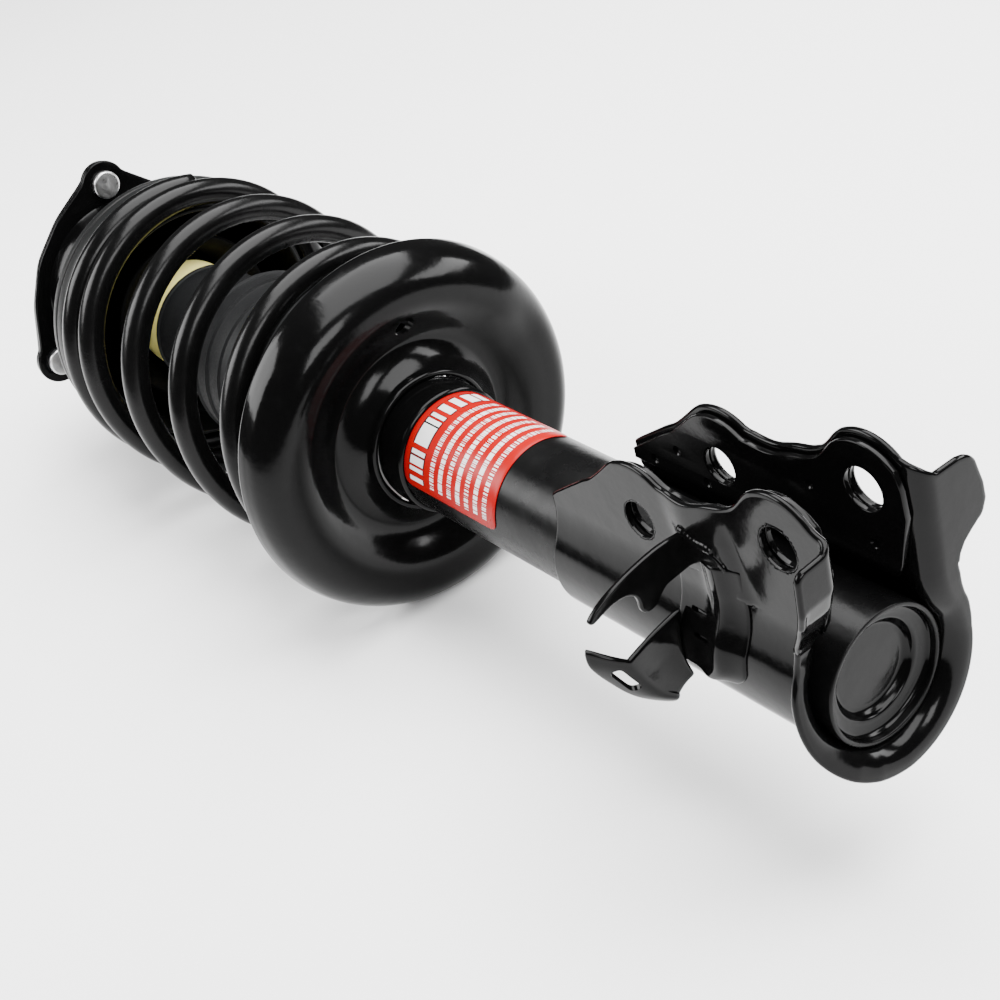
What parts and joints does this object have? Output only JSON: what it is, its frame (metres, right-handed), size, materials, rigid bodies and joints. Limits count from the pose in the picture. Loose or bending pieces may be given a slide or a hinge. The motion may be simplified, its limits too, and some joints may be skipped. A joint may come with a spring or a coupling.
{
  "type": "suspension strut assembly",
  "caption": "Suspension strut with a coil spring between two seats, a pressed knuckle bracket below and a studded upper mount.",
  "frame": {"origin": "centre of the flat disc in the lower end cap of the damper tube", "axes": "+X along the damper out of its lower end, +Z the way the two bracket ears stand, +Y from the near ear to the far ear"},
  "size_m": [0.579, 0.1568, 0.1568],
  "materials": {
    "gloss_black_paint": "gloss black enamel",
    "satin_black_paint": "satin black enamel",
    "spring_black": "gloss black powder coat",
    "zinc": "bright zinc plate",
    "black_zinc": "black zinc plate",
    "chrome": "hard chrome",
    "steel": "bare machined steel",
    "black_rubber": "matte",
    "grey_rubber": "matte grey",
    "boot_rubber": "matte, ribbed",
    "cream_foam": "matte cream microcellular foam",
    "race_plastic": "matte",
    "red_film": "gloss printed film"
  },
  "bodies": {
    "strut_body": {"reservoir_tube": "satin_black_paint", "tube_base_cap": "gloss_black_paint", "tube_top_cap": "gloss_black_paint", "base_valve": "steel", "pressure_tube": "steel", "rod_guide": "steel", "rod_seal": "black_rubber", "knuckle_bracket": "gloss_black_paint", "ear_plate_near": "gloss_black_paint", "ear_plate_far": "gloss_black_paint", "hose_bracket": "gloss_black_paint", "wire_bracket": "gloss_black_paint", "seat_collar": "gloss_black_paint", "spring_seat_lower": "gloss_black_paint", "spring_pad_lower": "black_rubber", "coil_spring": "spring_black", "tube_label": "red_film"},
    "upper_seat": {"spring_pad_upper": "grey_rubber", "spring_seat_upper": "gloss_black_paint", "bearing_race_lower": "race_plastic"},
    "top_mount": {"piston_rod": "chrome", "piston": "steel", "piston_nut": "steel", "rebound_stop": "black_rubber", "bearing_cage": "zinc", "bearing_race_upper": "race_plastic", "bump_stop": "cream_foam", "dust_boot": "boot_rubber", "mount_plate_inner": "gloss_black_paint", "mount_plate_outer": "gloss_black_paint", "mount_rubber": "black_rubber", "mount_sleeve": "steel", "rod_washer": "zinc", "rod_nut": "black_zinc", "mount_stud_1": "zinc", "flange_nut_1": "black_zinc", "mount_stud_2": "zinc", "flange_nut_2": "black_zinc", "mount_stud_3": "zinc", "flange_nut_3": "black_zinc"}
  },
  "joints": [
    {"name": "damper_slide", "type": "slide", "parent": "strut_body", "child": "upper_seat", "axis": [1, 0, 0], "range_m": [0, 0.105], "stiffness_N_per_m": 25000, "springref_m": -0.03, "deforming": ["coil_spring", "dust_boot", "bump_stop"]},
    {"name": "steering_swivel", "type": "hinge", "parent": "upper_seat", "child": "top_mount", "pos_m": [-0.5, 0, 0], "axis": [1, 0, 0], "range_deg": [-40, 40]}
  ]
}
